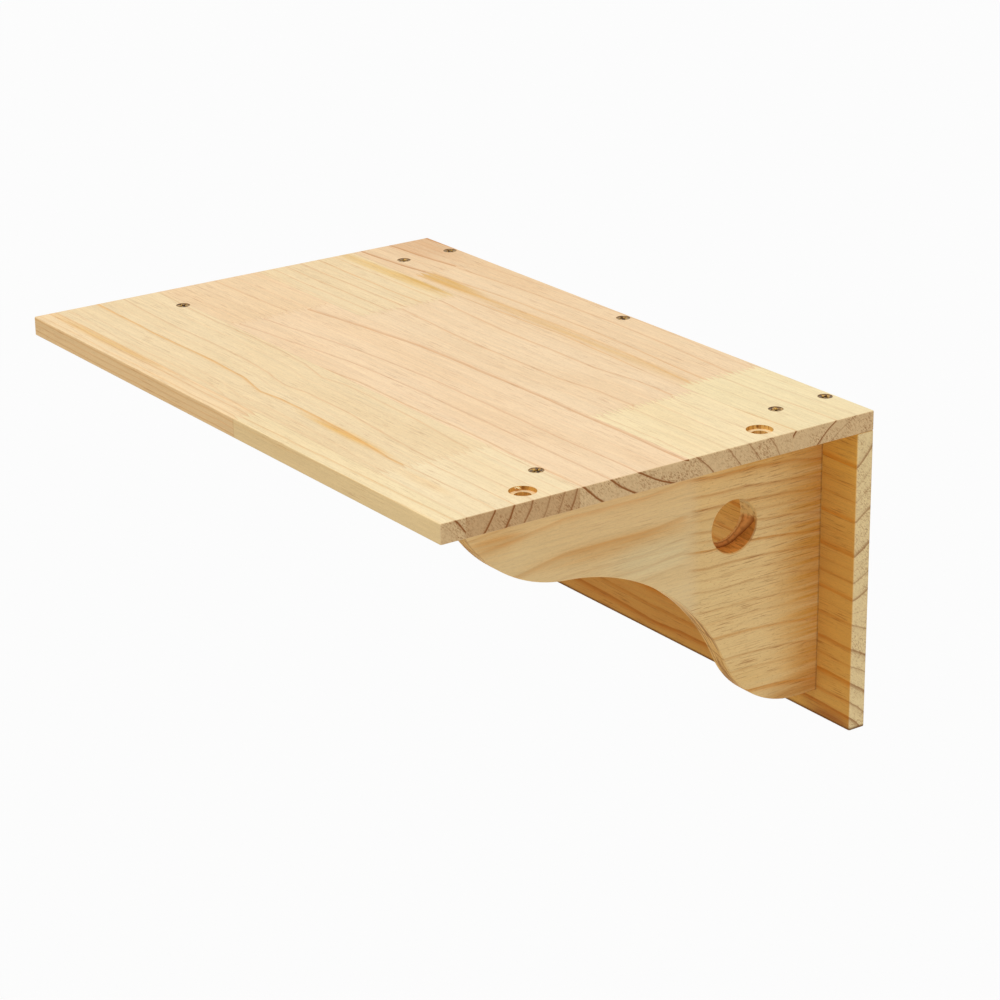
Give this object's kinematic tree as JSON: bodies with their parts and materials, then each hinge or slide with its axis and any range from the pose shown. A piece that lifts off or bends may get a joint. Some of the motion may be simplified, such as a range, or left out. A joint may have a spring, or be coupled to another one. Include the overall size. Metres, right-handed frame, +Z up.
{
  "type": "cat wall shelf",
  "caption": "Wall shelf for a cat: a flat pine board on a back board and S-curved brackets with round holes, held together by countersunk screws.",
  "frame": {"origin": "the middle of the four wall-fixing holes, in the plane of the wall, which is also the middle of the back board's wall face", "axes": "+X along the shelf's width, to the right as seen from the front; +Y into the wall; +Z up"},
  "size_m": [0.38, 0.25, 0.165],
  "materials": {
    "pine_board": "sanded bare pine, edge-glued staves with finger joints, satin",
    "pine_bracket": "sanded bare pine, sawn edges, satin",
    "zinc_screw": "yellow zinc plate"
  },
  "bodies": {
    "root": {"top_board": "pine_board", "back_board": "pine_board", "left_bracket": "pine_bracket", "right_bracket": "pine_bracket", "rear_screw_left": "zinc_screw", "rear_screw_middle": "zinc_screw", "rear_screw_right": "zinc_screw", "left_bracket_rear_screw": "zinc_screw", "left_bracket_front_screw": "zinc_screw", "right_bracket_rear_screw": "zinc_screw", "right_bracket_front_screw": "zinc_screw", "left_bracket_upper_back_screw": "zinc_screw", "left_bracket_lower_back_screw": "zinc_screw", "right_bracket_upper_back_screw": "zinc_screw", "right_bracket_lower_back_screw": "zinc_screw"}
  },
  "joints": []
}
